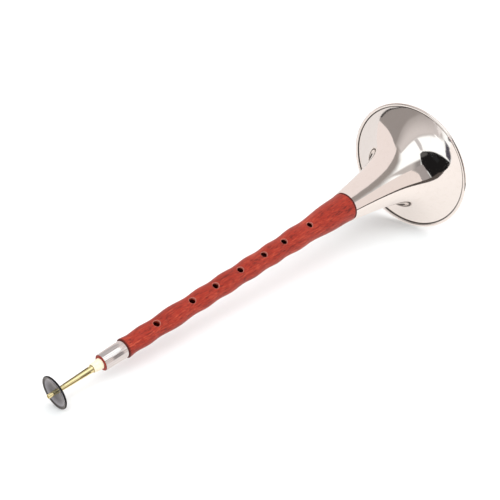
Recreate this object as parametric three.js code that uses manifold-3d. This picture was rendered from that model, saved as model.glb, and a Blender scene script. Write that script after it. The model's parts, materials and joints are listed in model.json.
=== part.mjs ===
// Suona: a conical rosewood pipe with a spun bell, a brass staple and a lip disc.
//
// Every piece is turned round one axis, so it is drawn as a closed outline of
// stations along that axis and radii, and revolved. Lengths are millimetres.
// On the axis, zero is the front end of the wooden pipe. The bell lies towards
// plus and the lip disc towards minus. The finished instrument lies on a flat
// surface, on the edge of its lip disc and the rim of its bell.

import * as THREE from 'three';
import { mergeVertices } from 'three/addons/utils/BufferGeometryUtils.js';
import Module from 'manifold-3d';

const wasm = await Module();
wasm.setup();

// Fits shared by all pieces
const slipGap = 0.2; // round a piece that slides in or over another
const seatGap = 0.3; // between end faces that meet
const cutOverrun = 2; // how far a cutter stands past the wood it cuts

// Wooden pipe
const ferruleTenonLength = 22.5; // front end, under the ferrule
const bodyLength = 276.7; // the waved part, from ferrule to bell
const bellTenonLength = 12; // hidden in the neck of the bell
const bodyFrontRadius = 8.6;
const bodyEndRadius = 14.4;
const valleyRadius = 7.75; // extrapolated to the front of the body
const bodyEdgeRound = 0.7;
const boreFrontRadius = 3;
const boreEndRadius = 10.2;
const fingerHoleRadius = 2.9;
const fingerHoleEase = 0.5; // softened mouth of each hole
const fingerHolePlaceShares = [0.12, 0.262, 0.36, 0.468, 0.576, 0.671, 0.797];
const thumbHolePlaceShare = 0.19;
const waistPlaceShare = 0.032;
const taperRiseShare = 0.3; // share of the body's growth that is a straight taper
const flarePower = 6; // how late the rest of the growth comes
const crestShare = 0.029; // height of a crest as a share of the gap between holes
const lastCrestShare = 0.02; // the same for the long swell below the last hole
const fingerHoleRoll = THREE.MathUtils.degToRad(28); // from straight up, as it lies

// Ferrule on the front tenon
const ferruleFrontRadius = 7.1;
const ferruleRearRadius = 7.55;
const ferruleWall = 0.4;
const tenonStandout = 0.4; // wood showing in front of the ferrule
const ferruleEdgeRound = 0.15;

// Brass staple, a straight cone
const stapleReach = 49.9; // from its tip to the front of the pipe
const stapleTail = 4; // from the front of the pipe to its wide end
const stapleTipRadius = 1.7;
const stapleTailRadius = 3.32;
const stapleWall = 0.5;

// Sleeve that plugs the staple into the pipe
const sleeveReach = 8.5; // the cone that shows in front of the pipe
const plugLength = 12;
const sleeveFrontRadius = 3.75;
const sleeveRearRadius = 4.65;
const plugFrontRadius = 4.1;
const plugEndRadius = 3.85;
const airwayRadius = 2.9;
const sleeveEdgeRound = 0.35;
const socketSpare = 1; // free depth below the plug

// Lip disc, a shallow dish
const discStandoff = 44.6; // from its rim plane to the front of the pipe
const discRadius = 14.3;
const discThickness = 1.5;
const dishDepth = 3;

// Bell, spun sheet rolled over a wire at the mouth
const bellLength = 106;
const neckRadius = 15;
const rimRadius = 68;
const bellWall = 0.6;
const coneRise = 11.3; // growth of the straight cone along the bell
const flareReach = 22.8; // how close to the mouth the trumpet curve turns out
const flareSharpness = 2; // power of that turn
const rimWireRadius = 0.7;

// Thread wound on the bell tenon
const wrapThickness = 0.7;
const wrapMargin = 1.2; // bare wood at each end of the winding

// Facets
const pipeSides = 32;
const bellSides = 48;
const slimSides = 32;
const holeSides = 16;
const wireSides = 6;
const waveSteps = 6;
const dishSteps = 4;
const flareSteps = 12;
const curlTurn = THREE.MathUtils.degToRad(30);
const curlFacets = 9;

// A point of an outline: a station on the axis and a radius
function at(station, radius) {
  return new THREE.Vector2(radius, station);
}

// Points on a circular arc, with the angle taken from plus axis to outwards
function arc(station, radius, size, from, to, steps) {
  const points = [];
  for (let i = 0; i <= steps; i += 1) {
    const angle = from + ((to - from) * i) / steps;
    points.push(at(station + size * Math.cos(angle), radius + size * Math.sin(angle)));
  }
  return points;
}

// Revolves a closed outline: outer wall towards plus, inner wall back again
function turned(outline, sides) {
  const closed = [...outline, outline[0].clone()];
  const geometry = new THREE.LatheGeometry(closed, sides);
  geometry.rotateZ(-Math.PI / 2);
  return geometry;
}

function toManifold(geometry) {
  const bare = geometry.clone();
  bare.deleteAttribute('normal');
  bare.deleteAttribute('uv');
  const merged = mergeVertices(bare);
  return new wasm.Manifold(new wasm.Mesh({
    numProp: 3,
    vertProperties: new Float32Array(merged.attributes.position.array),
    triVerts: new Uint32Array(merged.index.array),
  }));
}

function fromManifold(solid) {
  const mesh = solid.getMesh();
  const geometry = new THREE.BufferGeometry();
  geometry.setAttribute('position', new THREE.BufferAttribute(mesh.vertProperties, 3));
  geometry.setIndex(new THREE.BufferAttribute(mesh.triVerts, 1));
  geometry.computeVertexNormals();
  return geometry;
}

function piece(name, geometry, material) {
  const mesh = new THREE.Mesh(geometry, material);
  mesh.name = name;
  return mesh;
}

function along(from, to, share) {
  return from + (to - from) * share;
}

// The staple is one straight cone, which the sleeve and the disc follow
function stapleRadius(station) {
  const share = (station + stapleReach) / (stapleReach + stapleTail);
  return along(stapleTipRadius, stapleTailRadius, share);
}

// Valleys and crests of the wood: the fingers rest in the valleys
const waistStation = ferruleTenonLength + waistPlaceShare * bodyLength;
const bodyEnd = ferruleTenonLength + bodyLength;
const pipeEnd = bodyEnd + bellTenonLength;
const holeStations = fingerHolePlaceShares.map((share) => ferruleTenonLength + share * bodyLength);
const thumbStation = ferruleTenonLength + thumbHolePlaceShare * bodyLength;

function valleyAt(station) {
  const share = (station - ferruleTenonLength) / bodyLength;
  const growth = bodyEndRadius - valleyRadius;
  const flare = (1 - taperRiseShare) * share ** flarePower;
  return valleyRadius + growth * (taperRiseShare * share + flare);
}

function woodRadius(station) {
  if (station <= waistStation) {
    const share = (station - ferruleTenonLength) / (waistStation - ferruleTenonLength);
    const drop = (1 - Math.cos(Math.PI * share)) / 2;
    return along(bodyFrontRadius, valleyAt(waistStation), drop);
  }
  const valleys = [waistStation, ...holeStations, bodyEnd];
  const next = Math.max(1, valleys.findIndex((valley) => station <= valley + seatGap));
  const gap = valleys[next] - valleys[next - 1];
  const height = gap * (next === valleys.length - 1 ? lastCrestShare : crestShare);
  const share = (station - valleys[next - 1]) / gap;
  return valleyAt(station) + height * (1 - Math.cos(2 * Math.PI * share)) / 2;
}

function boreRadius(station) {
  return along(boreFrontRadius, boreEndRadius, station / pipeEnd);
}

function wavedWall() {
  const stops = [ferruleTenonLength, waistStation, ...holeStations, bodyEnd];
  const first = ferruleTenonLength + bodyEdgeRound;
  const last = bodyEnd - bodyEdgeRound;
  const points = [];
  for (let i = 1; i < stops.length; i += 1) {
    const steps = i === 1 ? waveSteps / 2 : waveSteps;
    for (let k = i === 1 ? 0 : 1; k <= steps; k += 1) {
      const station = THREE.MathUtils.clamp(along(stops[i - 1], stops[i], k / steps), first, last);
      points.push(at(station, woodRadius(station)));
    }
  }
  return points;
}

// A finger hole is bored square to the axis, with a softened mouth
function holeCutter(station, roll) {
  const surface = woodRadius(station);
  const tool = new THREE.LatheGeometry([
    new THREE.Vector2(0, 0),
    new THREE.Vector2(fingerHoleRadius, 0),
    new THREE.Vector2(fingerHoleRadius, surface - fingerHoleEase),
    new THREE.Vector2(fingerHoleRadius + fingerHoleEase, surface),
    new THREE.Vector2(fingerHoleRadius + fingerHoleEase + cutOverrun, surface + cutOverrun),
    new THREE.Vector2(0, surface + cutOverrun),
  ], holeSides);
  tool.rotateX(Math.PI / 2 + roll);
  tool.translate(station, 0, 0);
  return toManifold(tool);
}

function pipeGeometry() {
  const tenonFront = ferruleFrontRadius - ferruleWall - slipGap;
  const tenonRear = ferruleRearRadius - ferruleWall - slipGap;
  const bellTenon = neckRadius - bellWall - slipGap;
  const wrapFloor = bellTenon - wrapThickness - slipGap;
  const wrapFrom = bodyEnd + wrapMargin;
  const wrapTo = pipeEnd - wrapMargin;
  const socketDepth = plugLength + socketSpare;
  const edge = bodyEdgeRound;
  const outline = [
    at(0, plugFrontRadius + slipGap),
    at(0, tenonFront - ferruleEdgeRound),
    at(ferruleEdgeRound, tenonFront),
    at(ferruleTenonLength, tenonRear),
    ...arc(ferruleTenonLength + edge, bodyFrontRadius - edge, edge, Math.PI, Math.PI / 2, 2),
    ...wavedWall(),
    ...arc(bodyEnd - edge, bodyEndRadius - edge, edge, Math.PI / 2, 0, 2),
    at(bodyEnd, bellTenon),
    at(wrapFrom, bellTenon),
    at(wrapFrom, wrapFloor),
    at(wrapTo, wrapFloor),
    at(wrapTo, bellTenon),
    at(pipeEnd, bellTenon),
    at(pipeEnd, boreRadius(pipeEnd)),
    at(socketDepth, boreRadius(socketDepth)),
    at(socketDepth, plugEndRadius + slipGap),
  ].filter((point, i, all) => i === 0 || point.distanceTo(all[i - 1]) > slipGap / 2);
  let solid = toManifold(turned(outline, pipeSides));
  for (const station of holeStations) {
    solid = solid.subtract(holeCutter(station, fingerHoleRoll));
  }
  solid = solid.subtract(holeCutter(thumbStation, fingerHoleRoll + Math.PI));
  return fromManifold(solid);
}

function ferruleGeometry() {
  const length = ferruleTenonLength - tenonStandout - seatGap;
  const edge = ferruleEdgeRound;
  return turned([
    at(0, ferruleFrontRadius - ferruleWall),
    at(0, ferruleFrontRadius - edge),
    at(edge, ferruleFrontRadius),
    at(length - edge, ferruleRearRadius),
    at(length, ferruleRearRadius - edge),
    at(length, ferruleRearRadius - ferruleWall),
  ], pipeSides);
}

// Stations of the bell's outlines are taken from the edge of its neck
const curlOuter = rimWireRadius + slipGap + bellWall;
const curlInner = rimWireRadius + slipGap;
const curlStart = -curlTurn / 2;
const curlEnd = curlStart + curlTurn * curlFacets;
const curlRadius = rimRadius - curlOuter;
const curlStation = bellLength - curlOuter * Math.cos(curlStart);
const flareEnd = curlStation + curlInner * Math.cos(curlStart);
const flareEndRadius = curlRadius + curlInner * Math.sin(curlStart);

const flareRise = flareEndRadius - neckRadius - coneRise;

// A straight cone with a squared hyperbola added, which turns out at the mouth
function flareCurve(toMouth) {
  return (flareReach / (toMouth + flareReach)) ** flareSharpness;
}

function bellRadius(station) {
  const atNeck = flareCurve(flareEnd);
  const curve = (flareCurve(flareEnd - station) - atNeck) / (1 - atNeck);
  return neckRadius + (coneRise * station) / flareEnd + flareRise * curve;
}

function bellSlope(station) {
  const toMouth = flareEnd - station;
  const pull = (flareSharpness * flareCurve(toMouth)) / (toMouth + flareReach);
  return coneRise / flareEnd + (flareRise * pull) / (1 - flareCurve(flareEnd));
}

function bellGeometry() {
  const outside = [];
  const inside = [];
  for (let i = 0; i <= flareSteps; i += 1) {
    const station = flareEnd * (1 - (1 - i / flareSteps) ** 2);
    const slope = bellSlope(station);
    const offset = bellWall / Math.hypot(1, slope);
    outside.push(at(station, bellRadius(station)));
    inside.push(at(station + offset * slope, bellRadius(station) - offset));
  }
  // The neck is cut square, and the last points belong to the curl
  inside[0] = at(0, neckRadius - bellWall);
  outside.pop();
  inside.pop();
  return turned([
    ...outside,
    ...arc(curlStation, curlRadius, curlInner, curlStart, curlEnd, curlFacets),
    ...arc(curlStation, curlRadius, curlOuter, curlEnd, curlStart, curlFacets),
    ...inside.reverse(),
  ], bellSides);
}

function rimWireGeometry() {
  const round = arc(curlStation, curlRadius, rimWireRadius, 2 * Math.PI, 0, wireSides);
  round.pop();
  return turned(round, bellSides);
}

function wrapGeometry() {
  const outer = neckRadius - bellWall - slipGap;
  const length = bellTenonLength - 2 * wrapMargin - 2 * slipGap;
  return turned([
    at(0, outer - wrapThickness),
    at(0, outer),
    at(length, outer),
    at(length, outer - wrapThickness),
  ], pipeSides);
}

function stapleGeometry() {
  const length = stapleReach + stapleTail;
  return turned([
    at(0, stapleTipRadius - stapleWall),
    at(0, stapleTipRadius),
    at(length, stapleTailRadius),
    at(length, stapleTailRadius - stapleWall),
  ], slimSides);
}

// The sleeve's cone butts on the pipe, its plug fills the socket, and a step
// inside it carries the wide end of the staple
function sleeveGeometry() {
  const step = stapleTail + seatGap;
  const edge = sleeveEdgeRound;
  const front = -sleeveReach;
  return turned([
    at(front, stapleRadius(front) + slipGap),
    ...arc(front + edge, sleeveFrontRadius - edge, edge, Math.PI, Math.PI / 2, 2),
    at(-seatGap - edge, sleeveRearRadius),
    at(-seatGap, sleeveRearRadius - edge),
    at(-seatGap, plugFrontRadius),
    at(plugLength - edge, plugEndRadius),
    at(plugLength, plugEndRadius - edge),
    at(plugLength, airwayRadius),
    at(step, airwayRadius),
    at(step, stapleRadius(step) + slipGap),
  ], slimSides);
}

// A dish of even thickness with a rounded rim; its hollow faces the player
function discGeometry() {
  const half = discThickness / 2;
  const rimCentre = discRadius - half;
  const hub = stapleRadius(dishDepth + discThickness - discStandoff) + slipGap;
  const dish = (radius) => half + dishDepth * (1 - (radius / rimCentre) ** 2);
  const front = [];
  const back = [];
  for (let i = 0; i <= dishSteps; i += 1) {
    const radius = along(hub, rimCentre, i / dishSteps);
    front.push(at(dish(radius) - half, radius));
    back.push(at(dish(radius) + half, radius));
  }
  const rim = arc(half, rimCentre, half, Math.PI, 0, dishSteps).slice(1, -1);
  return turned([...front, ...rim, ...back.reverse()], slimSides);
}

const rosewood = new THREE.MeshStandardMaterial({ color: 0x9e3527, roughness: 0.45, metalness: 0 });
const nickel = new THREE.MeshStandardMaterial({ color: 0xd9d4cd, roughness: 0.08, metalness: 1 });
const brushedAlloy = new THREE.MeshStandardMaterial({ color: 0xb9b6b5, roughness: 0.3, metalness: 1 });
const brass = new THREE.MeshStandardMaterial({ color: 0xd8bd6a, roughness: 0.18, metalness: 1 });
const ivoryPlastic = new THREE.MeshStandardMaterial({ color: 0xf3e9c9, roughness: 0.4, metalness: 0 });
const blackGloss = new THREE.MeshStandardMaterial({ color: 0x101011, roughness: 0.08, metalness: 0 });
const steel = new THREE.MeshStandardMaterial({ color: 0x8d8f92, roughness: 0.4, metalness: 1 });
const waxedThread = new THREE.MeshStandardMaterial({ color: 0xb79b6a, roughness: 0.9, metalness: 0 });

function pipeAssembly() {
  const group = new THREE.Group();
  group.add(piece('pipe', pipeGeometry(), rosewood));
  const ferrule = piece('top_ferrule', ferruleGeometry(), brushedAlloy);
  ferrule.position.x = tenonStandout;
  group.add(ferrule);
  const wrap = piece('bell_tenon_thread', wrapGeometry(), waxedThread);
  wrap.position.x = bodyEnd + wrapMargin + slipGap;
  group.add(wrap);
  return group;
}

function bellAssembly() {
  const group = new THREE.Group();
  group.add(piece('bell', bellGeometry(), nickel));
  group.add(piece('bell_rim_wire', rimWireGeometry(), steel));
  group.position.x = bodyEnd + seatGap;
  return group;
}

function stapleAssembly() {
  const group = new THREE.Group();
  const staple = piece('staple_tube', stapleGeometry(), brass);
  staple.position.x = -stapleReach;
  group.add(staple);
  group.add(piece('staple_sleeve', sleeveGeometry(), ivoryPlastic));
  const disc = piece('lip_disc', discGeometry(), blackGloss);
  disc.position.x = -discStandoff;
  group.add(disc);
  return group;
}

// It lies on the edge of the disc and on the rim of the bell
function layDown(instrument) {
  const discEdge = -discStandoff + discThickness / 2;
  const bellEdge = bodyEnd + seatGap + curlStation;
  instrument.rotation.y = -Math.atan2(rimRadius - discRadius, bellEdge - discEdge);
  instrument.updateMatrixWorld(true);
  const box = new THREE.Box3().setFromObject(instrument, true);
  const centre = box.getCenter(new THREE.Vector3());
  instrument.position.set(-centre.x, -centre.y, -box.min.z);
}

const suona = new THREE.Group();
suona.add(pipeAssembly(), bellAssembly(), stapleAssembly());
layDown(suona);

export default suona;
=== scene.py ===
"""Suona: a waved rosewood pipe with a spun nickel bell, a brass staple and a black lip disc.

Every piece is turned round one axis. Outlines are drawn in millimetres, as pairs of a station along
that axis and a radius, revolved, and laid down in metres where the frame holds the instrument.
"""

import json
import math

import bmesh
import bpy
from bpy.props import FloatProperty, FloatVectorProperty, IntProperty, PointerProperty
from bpy.types import Operator, Panel, PropertyGroup
from mathutils import Matrix, Vector


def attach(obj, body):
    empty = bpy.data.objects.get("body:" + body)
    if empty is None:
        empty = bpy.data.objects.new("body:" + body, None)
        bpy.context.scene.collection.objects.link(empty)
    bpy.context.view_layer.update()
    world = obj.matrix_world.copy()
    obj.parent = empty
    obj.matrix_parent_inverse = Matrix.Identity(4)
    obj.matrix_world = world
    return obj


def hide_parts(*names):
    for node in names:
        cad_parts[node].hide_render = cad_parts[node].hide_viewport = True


bl_info = {
    "name": "Suona",
    "version": (1, 0, 0),
    "blender": (4, 5, 0),
    "location": "View3D > Sidebar > Suona",
    "description": "Builds a suona lying on a pale studio floor",
    "category": "Add Mesh",
}

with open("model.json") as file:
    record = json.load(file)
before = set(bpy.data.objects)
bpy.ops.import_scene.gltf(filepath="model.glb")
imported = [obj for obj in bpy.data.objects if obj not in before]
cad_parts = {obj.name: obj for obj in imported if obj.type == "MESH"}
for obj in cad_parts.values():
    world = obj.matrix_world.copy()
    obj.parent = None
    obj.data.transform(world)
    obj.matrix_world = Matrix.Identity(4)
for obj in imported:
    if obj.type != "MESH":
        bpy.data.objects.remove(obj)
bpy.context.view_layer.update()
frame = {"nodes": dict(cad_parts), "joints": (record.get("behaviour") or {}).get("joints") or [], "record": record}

MM = 0.001
TURN = 2 * math.pi
MOUTH_STATION = 405.5  # the bell's mouth
SLIP_GAP = 0.2  # round a piece that slides in or over another
SEAT_GAP = 0.3  # between end faces that meet
MERGE = 1e-4  # points closer than this are one
HARD_EDGE = math.radians(35)

# The axis as it lies. The mouth of the bell is level with its mount, and stations are counted from
# the front end of the wood.
AXIS = Vector(frame["joints"][0]["axis"]).normalized()
SIDE = Vector((0, 1, 0))
LIFT = AXIS.cross(SIDE)
TILT = math.atan2(AXIS.z, AXIS.x)
MOUTH = next(m["pos_m"] for m in frame["record"]["mounts"] if m["name"] == "bell_mouth")
FRONT = Vector((MOUTH[0], 0, MOUTH[2])) - AXIS * MOUTH_STATION * MM
LAY = Matrix.Translation(FRONT) @ Matrix((AXIS, SIDE, LIFT)).transposed().to_4x4() @ Matrix.Scale(MM, 4)


# Settings a user would change


def length(name, default, note):
    return FloatProperty(
        name=name, description=note, default=default * MM, min=0, unit="LENGTH", precision=5
    )


def share(name, default, note):
    return FloatProperty(name=name, description=note, default=default, min=0, max=1, subtype="FACTOR")


def number(name, default, note, least=0):
    return FloatProperty(name=name, description=note, default=default, min=least)


def colour(name, default, note):
    return FloatVectorProperty(
        name=name, description=note, default=default, size=3, min=0, max=1, subtype="COLOR"
    )


def angle(name, default, note):
    return FloatProperty(name=name, description=note, default=math.radians(default), subtype="ANGLE")


def sides(name, default, note):
    return IntProperty(name=name, description=note, default=default, min=8, max=512)


def mm(value):
    return value / MM


class SuonaPipeSettings(PropertyGroup):
    """Sizes and colours of the wooden pipe, its ferrule and its thread."""

    front_radius: length("Front radius", 8.6, "Radius of the shoulder behind the ferrule")
    end_radius: length("End radius", 14.4, "Radius of the wood at the bell")
    valley_radius: length("Valley radius", 7.75, "Radius of the valleys, drawn out to the front")
    hole_radius: length("Finger hole radius", 2.9, "Radius of each finger hole")
    hole_ease: length("Finger hole ease", 0.55, "Rounding of the mouth of each hole")
    edge_round: length("Edge rounding", 0.7, "Rounding of the ends of the waved wood")
    hole_roll: angle("Hole roll", 28, "Turn of the row of holes towards the front, from straight up")
    crest_share: share("Crests", 0.029, "Height of a crest as a share of the gap between holes")
    pipe_sides: sides("Sides", 128, "Facets round the pipe")
    ferrule_front: length("Ferrule front radius", 7.1, "Radius of the ferrule at its front")
    ferrule_rear: length("Ferrule rear radius", 7.55, "Radius of the ferrule at the wood")
    # Also the colour of the painted shade at both ends of the waved wood
    wood_dark: colour("Dark grain", (0.085, 0.012, 0.010), "Darkest streaks of the wood")
    wood_mid: colour("Wood", (0.325, 0.029, 0.016), "Body colour of the stained wood")
    wood_light: colour("Light grain", (0.500, 0.075, 0.038), "Lightest streaks of the wood")
    wood_rubbed: colour("Rubbed wood", (0.70, 0.33, 0.27), "Wood rubbed bare round the holes")
    ferrule_metal: colour("Ferrule", (0.80, 0.78, 0.78), "Silver alloy of the ferrule")
    thread: colour("Thread", (0.62, 0.47, 0.26), "Waxed thread on the bell tenon")


class SuonaBellSettings(PropertyGroup):
    """Sizes and colours of the bell."""

    bell_length: length("Length", 106, "Bell from neck to mouth")
    neck_radius: length("Neck radius", 15, "Outside radius at the wood")
    rim_radius: length("Rim radius", 68, "Outside radius of the rolled rim")
    sheet: length("Sheet", 0.6, "Thickness of the spun sheet")
    cone_rise: length("Cone rise", 11.3, "Growth of the straight cone along the bell")
    flare_reach: length("Flare reach", 22.8, "How close to the mouth the trumpet curve turns out")
    flare_sharpness: number("Flare sharpness", 2, "Power of that turn", least=1)
    wire_radius: length("Wire radius", 0.7, "Wire inside the rolled rim")
    bell_sides: sides("Sides", 192, "Facets round the bell")
    plating: colour("Plating", (0.93, 0.905, 0.885), "Bright nickel")
    gloss: share("Roughness", 0.045, "Roughness of the polished plating")


class SuonaMouthSettings(PropertyGroup):
    """Sizes and colours of the staple, its sleeve and the lip disc."""

    staple_reach: length("Staple reach", 49.9, "Staple tip to the front of the pipe")
    tip_radius: length("Tip radius", 1.7, "Outside radius of the staple's tip")
    tail_radius: length("Tail radius", 3.32, "Outside radius of the staple's wide end")
    tube_wall: length("Tube wall", 0.5, "Wall of the brass tube")
    sleeve_reach: length("Sleeve reach", 8.5, "Cone of the sleeve in front of the pipe")
    sleeve_front: length("Sleeve front radius", 3.75, "Radius of the sleeve at its front")
    sleeve_rear: length("Sleeve rear radius", 4.65, "Radius of the sleeve at the pipe")
    disc_standoff: length("Disc standoff", 44.6, "Disc rim to the front of the pipe")
    disc_radius: length("Disc radius", 14.3, "Radius of the lip disc")
    disc_thickness: length("Disc thickness", 1.5, "Thickness of the disc")
    dish_depth: length("Dish depth", 3, "Depth of the dished disc")
    round_sides: sides("Sides", 96, "Facets round these small pieces")
    brass: colour("Brass", (0.84, 0.77, 0.44), "Pale polished brass")
    ivory: colour("Sleeve", (0.90, 0.83, 0.65), "Cream plastic")
    black: colour("Disc", (0.010, 0.010, 0.012), "Black gloss plastic")
    # Pale film in the dish: dusty, and also a painted reflection of the pale room
    dust_and_sheen: colour("Dust", (0.25, 0.245, 0.27), "Film of dust in the dish of the disc")


class SuonaStageSettings(PropertyGroup):
    """The floor, the light and the camera."""

    camera_pitch: angle("Camera pitch", 63.34, "Turn of the camera up from straight down")
    camera_heading: angle("Camera heading", -46.265, "Turn of the camera round the vertical")
    camera_place: FloatVectorProperty(
        name="Camera place",
        description="Where the camera stands",
        default=(-0.53192, -0.49522, 0.41621),
        size=3,
        subtype="TRANSLATION",
        unit="LENGTH",
    )
    lens: FloatProperty(name="Lens", description="Focal length", default=66.52, unit="CAMERA")
    paper: colour("Paper", (0.86, 0.90, 0.92), "Pale floor")
    top_light: number("Top light", 1.05, "Strength of the light from above")
    fill_light: number("Fill light", 1.3, "Strength of the light all round")


# Meshes

EDGE_STEPS = 5  # facets of a rounded edge
BEVEL_STEPS = 3


def arc(station, radius, size, start, end, steps):
    """Points of an arc in the outline's plane, with angles from the bell's direction to outwards."""
    turns = [start + (end - start) * i / steps for i in range(steps + 1)]
    return [(station + size * math.cos(t), radius + size * math.sin(t)) for t in turns]


def between(low, high, part):
    return low + (high - low) * part


def drawn(points, closed=True):
    """Edges from point to point."""
    bm = bmesh.new()
    verts = [bm.verts.new(point) for point in points]
    for pair in zip(verts, verts[1:] + verts[:1] if closed else verts[1:]):
        bm.edges.new(pair)
    return bm


def turned(outline, count, axis, closed):
    """Turns an outline in the plane y = 0 round an axis through the origin."""
    bm = drawn([(x, 0, z) for x, z in outline], closed)
    line = [*bm.verts, *bm.edges]
    bmesh.ops.spin(bm, geom=line, cent=(0, 0, 0), axis=axis, angle=TURN, steps=count, use_merge=True)
    bmesh.ops.remove_doubles(bm, verts=bm.verts, dist=MERGE)
    bmesh.ops.recalc_face_normals(bm, faces=bm.faces)
    return bm


def spun(outline, count):
    """Revolves a closed outline of stations and radii into a closed wall."""
    return turned(outline, count, (1, 0, 0), closed=True)


def soften(bm, width):
    """Rounds every hard edge."""
    hard = [e for e in bm.edges if len(e.link_faces) == 2 and e.calc_face_angle() > HARD_EDGE]
    bmesh.ops.bevel(
        bm,
        geom=hard,
        offset=width,
        segments=BEVEL_STEPS,
        profile=0.5,
        affect="EDGES",
        material=-1,
        clamp_overlap=True,
    )


def new_piece(bm, name):
    mesh = bpy.data.meshes.new(name)
    bm.to_mesh(mesh)
    bm.free()
    piece = bpy.data.objects.new(name, mesh)
    bpy.context.scene.collection.objects.link(piece)
    return piece


def smooth(mesh):
    mesh.shade_smooth()
    mesh.set_sharp_from_angle(angle=HARD_EDGE)


def add_mesh(bm, name):
    """Lays the shape down on the axis as an object of that name."""
    bmesh.ops.transform(bm, matrix=LAY, verts=bm.verts)
    piece = new_piece(bm, name)
    smooth(piece.data)
    return piece


def place(piece, material, body, slot, *nodes):
    piece.data.materials.append(material)
    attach(piece, body)
    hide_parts(*nodes)


def cut(piece, tool):
    """Takes the tool's shape out of the piece, and removes the tool."""
    change = piece.modifiers.new("cut", "BOOLEAN")
    change.operation = "DIFFERENCE"
    change.solver = "EXACT"
    change.object = tool
    ready = piece.evaluated_get(bpy.context.evaluated_depsgraph_get())
    mesh = bpy.data.meshes.new_from_object(ready)
    piece.modifiers.clear()
    piece.data = mesh
    bpy.data.objects.remove(tool)
    smooth(mesh)


# Shader nodes

NOISE_SPAN = (0.3, 0.7)  # most of a noise lies between these


def feed(socket, value):
    """Links another node's socket, and sets any other value. A colour is red, green and blue."""
    if isinstance(value, bpy.types.NodeSocket):
        socket.id_data.links.new(value, socket)
    else:
        socket.default_value = (*value, 1) if socket.type == "RGBA" else value


def node(tree, kind, inputs=None, **settings):
    """Adds a shader node."""
    made = tree.nodes.new("ShaderNode" + kind)
    for key, value in settings.items():
        setattr(made, key, value)
    for key, value in (inputs or {}).items():
        feed(made.inputs[key], value)
    return made


def cleared(owner):
    """The node tree of a material or a world, emptied."""
    owner.use_nodes = True
    owner.node_tree.nodes.clear()
    return owner.node_tree


def new_material(name):
    """A material, and its tree of nodes."""
    material = bpy.data.materials.new(name)
    return material, cleared(material)


def shaded(material, **values):
    """Gives the material a Principled shader with these inputs."""
    tree = material.node_tree
    inputs = {key.replace("_", " "): value for key, value in values.items()}
    shader = node(tree, "BsdfPrincipled", inputs)
    node(tree, "OutputMaterial", {"Surface": shader.outputs["BSDF"]})
    return material


def axis_place(tree):
    """Millimetres along and across the instrument's own axis."""
    coordinates = node(tree, "TexCoord")
    return node(
        tree,
        "Mapping",
        {
            "Vector": coordinates.outputs["Object"],
            "Location": FRONT,
            "Rotation": (0, -TILT, 0),
            "Scale": (MM, MM, MM),
        },
        vector_type="TEXTURE",
    ).outputs["Vector"]


def noise(tree, vector, scale, detail, rough=0.5, twist=0.0):
    """Noise as fine as the scale. A scale may be given for each direction."""
    if isinstance(scale, tuple):
        vector = node(tree, "VectorMath", {0: vector, 1: scale}, operation="MULTIPLY").outputs[0]
        scale = 1
    return node(
        tree,
        "TexNoise",
        {"Vector": vector, "Scale": scale, "Detail": detail, "Roughness": rough, "Distortion": twist},
    ).outputs["Fac"]


def ramp(tree, value, stops):
    """A colour ramp with stops of a place and a colour."""
    made = node(tree, "ValToRGB", {"Fac": value})
    marks = made.color_ramp.elements
    while len(marks) < len(stops):
        marks.new(1.0)
    for mark, (position, tone) in zip(marks, stops):
        mark.position = position
        mark.color = (*tone, 1)
    return made.outputs["Color"]


def mixed(tree, factor, first, second):
    inputs = {"Factor": factor, "A": first, "B": second}
    return node(tree, "Mix", inputs, data_type="RGBA").outputs["Result"]


def ranged(tree, value, low, high, to_low, to_high, kind="LINEAR"):
    return node(
        tree,
        "MapRange",
        {"Value": value, "From Min": low, "From Max": high, "To Min": to_low, "To Max": to_high},
        interpolation_type=kind,
    ).outputs["Result"]


def eased(tree, value, low, high, to_low, to_high):
    return ranged(tree, value, low, high, to_low, to_high, "SMOOTHSTEP")


def varied(tree, value, low, high):
    """Spreads noise over a range."""
    return ranged(tree, value, *NOISE_SPAN, low, high)


def maths(tree, operation, first, *others):
    """The sum, the product or the least of some values."""
    for other in others:
        first = node(tree, "Math", {0: first, 1: other}, operation=operation).outputs[0]
    return first


def summed(tree, *values):
    return maths(tree, "ADD", *values)


def scaled(tree, value, factor):
    return maths(tree, "MULTIPLY", value, factor)


def lowest(tree, *values):
    return maths(tree, "MINIMUM", *values)


def measured(tree, operation, first, second):
    """A number from two vectors, such as their distance."""
    return node(tree, "VectorMath", {0: first, 1: second}, operation=operation).outputs["Value"]


def tinted(tree, value, low, high, first, second, most=1):
    """Passes from the first colour towards the second, as the value grows from low to high."""
    return mixed(tree, ranged(tree, value, low, high, 0, most), first, second)


def bumped(tree, height, depth_mm):
    return node(tree, "Bump", {"Height": height, "Distance": depth_mm * MM}).outputs["Normal"]


def lathe_place(tree, place_mm):
    """Station and distance from the axis, for marks that run round a turned piece."""
    parts = node(tree, "SeparateXYZ", {"Vector": place_mm})
    across = node(tree, "CombineXYZ", {"Y": parts.outputs["Y"], "Z": parts.outputs["Z"]})
    radius = node(tree, "VectorMath", {0: across.outputs[0]}, operation="LENGTH").outputs["Value"]
    return node(tree, "CombineXYZ", {"X": parts.outputs["X"], "Y": radius}).outputs[0]


# Finishes. Scales of noise are per millimetre, along the axis and across it.

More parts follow.
